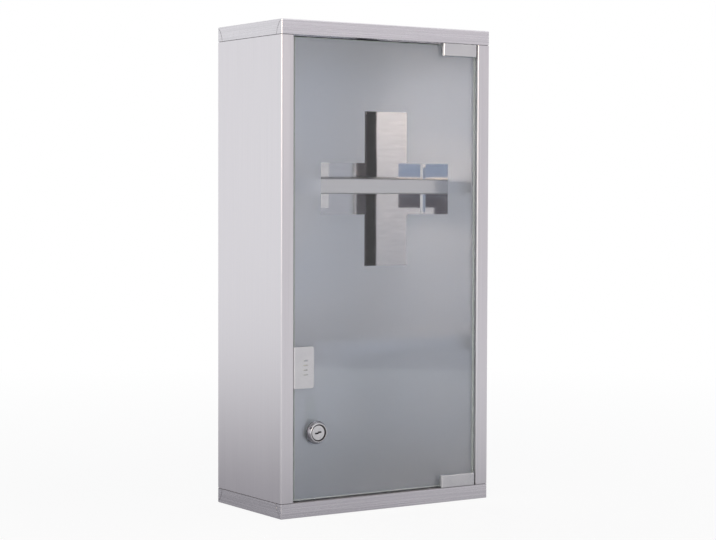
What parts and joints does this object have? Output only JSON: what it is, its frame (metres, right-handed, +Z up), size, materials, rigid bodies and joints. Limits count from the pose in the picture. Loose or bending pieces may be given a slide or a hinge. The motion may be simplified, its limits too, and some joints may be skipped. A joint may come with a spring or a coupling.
{
  "type": "wall medicine cabinet",
  "caption": "Wall medicine cabinet of folded stainless steel with shelves and a frosted glass door on pivot hinges, held by a push latch and a cam lock.",
  "frame": {"origin": "middle of the bottom cap's underside", "axes": "+X to the right as seen from the front, +Y towards the wall, +Z up"},
  "size_m": [0.3, 0.1535, 0.58],
  "materials": {
    "brushed_stainless": "brushed",
    "polished_stainless": "bright rolled",
    "satin_nickel": "satin plated",
    "chrome": "polished plating",
    "zinc_plate": "bright zinc",
    "spring_steel": "drawn wire",
    "clear_glass": "polished",
    "frosted_layer": "frosted",
    "black_rubber": "moulded",
    "clear_rubber": "translucent",
    "white_nylon": "moulded",
    "grey_plastic": "moulded",
    "ferrite": "sintered"
  },
  "bodies": {
    "case": {"left_side_panel": "brushed_stainless", "right_side_panel": "brushed_stainless", "top_cap": "brushed_stainless", "bottom_cap": "brushed_stainless", "lower_shelf": "brushed_stainless", "lower_shelf_rail_left": "brushed_stainless", "lower_shelf_rail_right": "brushed_stainless", "upper_shelf": "brushed_stainless", "upper_shelf_rail_left": "brushed_stainless", "upper_shelf_rail_right": "brushed_stainless", "latch_bracket": "brushed_stainless", "back_panel": "polished_stainless", "corner_bar_left": "brushed_stainless", "corner_bar_right": "brushed_stainless", "top_hinge_bush": "white_nylon", "bottom_hinge_bush": "white_nylon", "latch_housing": "grey_plastic", "latch_screw_1": "zinc_plate", "latch_screw_2": "zinc_plate", "latch_spring": "spring_steel"},
    "door": {"door_glass": "clear_glass", "frosted_film": "frosted_layer", "strike_plate": "satin_nickel", "strike_liner": "clear_rubber", "lock_barrel": "chrome", "lock_gasket": "black_rubber", "lock_washer": "zinc_plate", "lock_nut": "zinc_plate", "top_hinge_clamp": "satin_nickel", "top_hinge_liner": "clear_rubber", "top_hinge_pin": "zinc_plate", "top_hinge_set_screw_1": "zinc_plate", "top_hinge_set_screw_2": "zinc_plate", "bottom_hinge_clamp": "satin_nickel", "bottom_hinge_liner": "clear_rubber", "bottom_hinge_pin": "zinc_plate", "bottom_hinge_set_screw_1": "zinc_plate", "bottom_hinge_set_screw_2": "zinc_plate"},
    "lock_rotor": {"lock_plug": "chrome", "lock_cam": "zinc_plate", "cam_screw": "zinc_plate"},
    "latch_rod": {"latch_plunger": "white_nylon", "latch_magnet": "ferrite"}
  },
  "joints": [
    {"name": "door_swing", "type": "hinge", "parent": "case", "child": "door", "pos_m": [0.121, -0.0685, 0.29], "axis": [0, 0, 1], "range_deg": [0, 110]},
    {"name": "lock_turn", "type": "hinge", "parent": "door", "child": "lock_rotor", "pos_m": [-0.1002, -0.07, 0.09855], "axis": [0, -1, 0], "range_deg": [0, 90]},
    {"name": "latch_slide", "type": "slide", "parent": "case", "child": "latch_rod", "axis": [0, -1, 0], "range_m": [0, 0.008], "deforming": ["latch_spring"]}
  ],
  "couplings": [
    {"joint": "latch_slide", "follows": "door_swing", "m_per_rad": 0.004}
  ]
}
